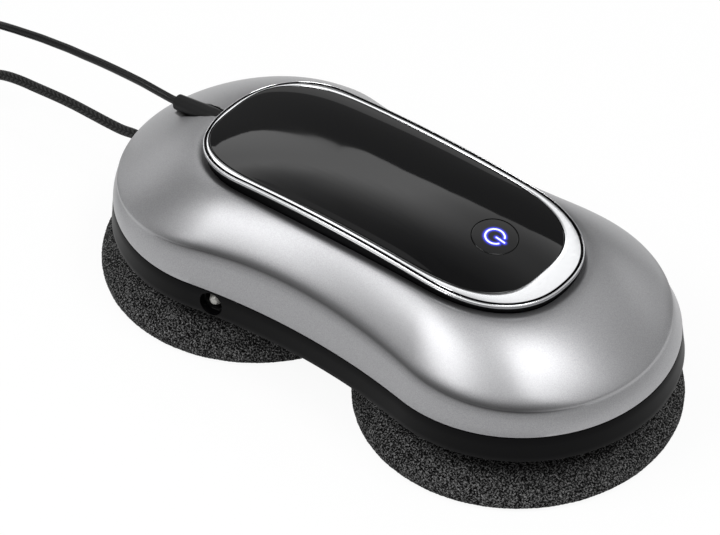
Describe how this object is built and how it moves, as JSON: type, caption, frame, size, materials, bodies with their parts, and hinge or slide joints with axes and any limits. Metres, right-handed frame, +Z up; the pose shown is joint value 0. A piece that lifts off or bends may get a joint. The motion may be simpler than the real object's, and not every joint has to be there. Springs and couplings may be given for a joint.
{
  "type": "window cleaning robot",
  "caption": "Twin-disc window cleaning robot: figure-8 body on two turning microfibre discs, with suction fan, power cord and safety rope.",
  "frame": {"origin": "middle of the footprint of the two cleaning pads, on the surface that they stand on", "axes": "+X along the body towards the end with the power button, +Y across it to the left, +Z up from the floor"},
  "size_m": [0.5311, 0.1816, 0.0904],
  "materials": {
    "silver_shell": "satin metallic silver paint on moulded plastic",
    "black_band": "satin black",
    "glossy_panel": "polished black",
    "bezel_chrome": "bright plated plastic",
    "symbol_light": "lit blue light guide",
    "circuit_board": "solder mask",
    "component_black": "moulded",
    "socket_black": "moulded",
    "contact_metal": "nickel plated",
    "black_rubber": "moulded",
    "wheel_plastic": "moulded",
    "pad_cloth": "short microfibre pile",
    "gear_plastic": "moulded",
    "bearing_bronze": "sintered bronze",
    "steel": "plain",
    "dark_plastic": "moulded",
    "battery_wrap": "shrink wrap",
    "cord_rubber": "smooth jacket",
    "rope_braid": "braided"
  },
  "bodies": {
    "housing": {"top_shell": "silver_shell", "base_band": "black_band", "base_plate": "black_band", "top_panel": "glossy_panel", "chrome_bezel": "bezel_chrome", "button_board": "circuit_board", "button_switch": "component_black", "side_socket": "socket_black", "socket_pin": "contact_metal", "strain_relief": "black_rubber", "rope_grommet": "black_rubber", "front_bearing": "bearing_bronze", "rear_bearing": "bearing_bronze", "front_motor": "steel", "rear_motor": "steel", "front_motor_stand": "dark_plastic", "rear_motor_stand": "dark_plastic", "fan_housing": "dark_plastic", "fan_motor": "steel", "air_duct": "dark_plastic", "battery_pack": "battery_wrap", "main_board": "circuit_board", "board_parts": "component_black", "case_screws": "steel", "power_cord": "cord_rubber", "power_cord_coil": "cord_rubber", "power_cord_tail": "cord_rubber", "plug_body": "black_rubber", "plug_sleeve": "contact_metal", "safety_rope": "rope_braid", "safety_rope_coil": "rope_braid", "safety_rope_tail": "rope_braid", "rope_ferrule": "contact_metal", "rope_loop": "rope_braid"},
    "front_disc": {"front_wheel": "wheel_plastic", "front_pad": "pad_cloth", "front_wheel_gear": "gear_plastic"},
    "rear_disc": {"rear_wheel": "wheel_plastic", "rear_pad": "pad_cloth", "rear_wheel_gear": "gear_plastic"},
    "front_drive_gear": {"front_pinion": "steel"},
    "rear_drive_gear": {"rear_pinion": "steel"},
    "fan": {"fan_impeller": "gear_plastic", "fan_shaft": "steel"},
    "button": {"power_button": "glossy_panel", "power_symbol": "symbol_light"}
  },
  "joints": [
    {"name": "front_disc_spin", "type": "hinge", "parent": "housing", "child": "front_disc", "pos_m": [0.0735, 0, 0], "axis": [0, 0, 1], "continuous": true},
    {"name": "rear_disc_spin", "type": "hinge", "parent": "housing", "child": "rear_disc", "pos_m": [-0.0735, 0, 0], "axis": [0, 0, 1], "continuous": true},
    {"name": "front_drive_spin", "type": "hinge", "parent": "housing", "child": "front_drive_gear", "pos_m": [0.05838, 0.02843, 0.037], "axis": [0, 0, 1], "continuous": true},
    {"name": "rear_drive_spin", "type": "hinge", "parent": "housing", "child": "rear_drive_gear", "pos_m": [-0.05838, 0.02843, 0.037], "axis": [0, 0, 1], "continuous": true},
    {"name": "fan_spin", "type": "hinge", "parent": "housing", "child": "fan", "pos_m": [0, 0, 0.039], "axis": [0, 0, 1], "continuous": true},
    {"name": "button_press", "type": "slide", "parent": "housing", "child": "button", "axis": [-0.1644, 0, -0.9864], "range_m": [0, 0.0008], "stiffness_N_per_m": 700}
  ],
  "couplings": [
    {"joint": "front_drive_spin", "follows": "front_disc_spin", "ratio": -3},
    {"joint": "rear_drive_spin", "follows": "rear_disc_spin", "ratio": -3}
  ]
}
